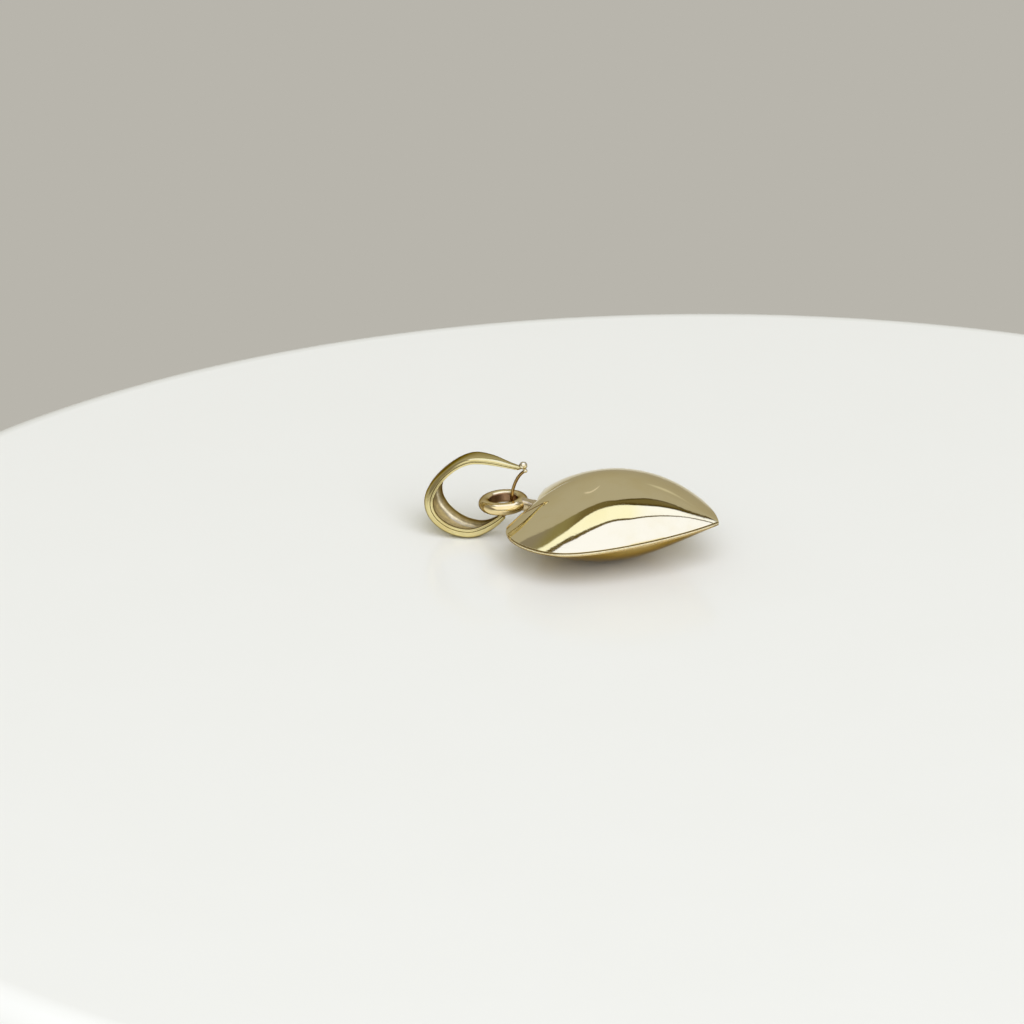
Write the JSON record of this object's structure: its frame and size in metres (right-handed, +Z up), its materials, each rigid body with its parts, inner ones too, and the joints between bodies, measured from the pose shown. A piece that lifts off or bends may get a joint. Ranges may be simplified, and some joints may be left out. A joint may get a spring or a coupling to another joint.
{
  "type": "heart pendant",
  "caption": "Hollow puffed heart pendant in polished gold, lying on its back shell, with a ring at the cleft and a domed leaf bail threaded through it.",
  "frame": {"origin": "under the middle of the pendant, on the surface that it lies on", "axes": "+X from the bail to the tip of the heart, +Z up, away from the surface"},
  "size_m": [0.0194, 0.014, 0.0055],
  "materials": {
    "front_shell_gold": "mirror-polished yellow gold, electro-formed sheet",
    "back_shell_gold": "mirror-polished yellow gold with fine wear",
    "seam_gold": "filed and polished solder line",
    "ring_gold": "polished gold wire",
    "neck_gold": "softly flowed gold solder",
    "strap_gold": "polished pressed gold strip",
    "tail_gold": "drawn gold wire",
    "bead_gold": "melted and polished gold bead"
  },
  "bodies": {
    "heart": {"heart_front_shell": "front_shell_gold", "heart_back_shell": "back_shell_gold", "seam_solder": "seam_gold", "eye_ring_solder": "neck_gold"},
    "ring": {"eye_ring": "ring_gold"},
    "bail": {"bail_strap": "strap_gold", "bail_tail": "tail_gold", "bail_tip_bead": "bead_gold", "bail_tail_bead": "bead_gold"}
  },
  "joints": [
    {"name": "bail_swivel", "type": "hinge", "parent": "heart", "child": "ring", "pos_m": [-0.00474, 0, 0.00239], "axis": [-0.0802, 0, 0.9968], "range_deg": [-85, 70]},
    {"name": "bail_swing", "type": "hinge", "parent": "ring", "child": "bail", "pos_m": [-0.00421, 0, 0.00239], "axis": [-0.1392, 0.9903, 0], "range_deg": [-56, 25]}
  ]
}
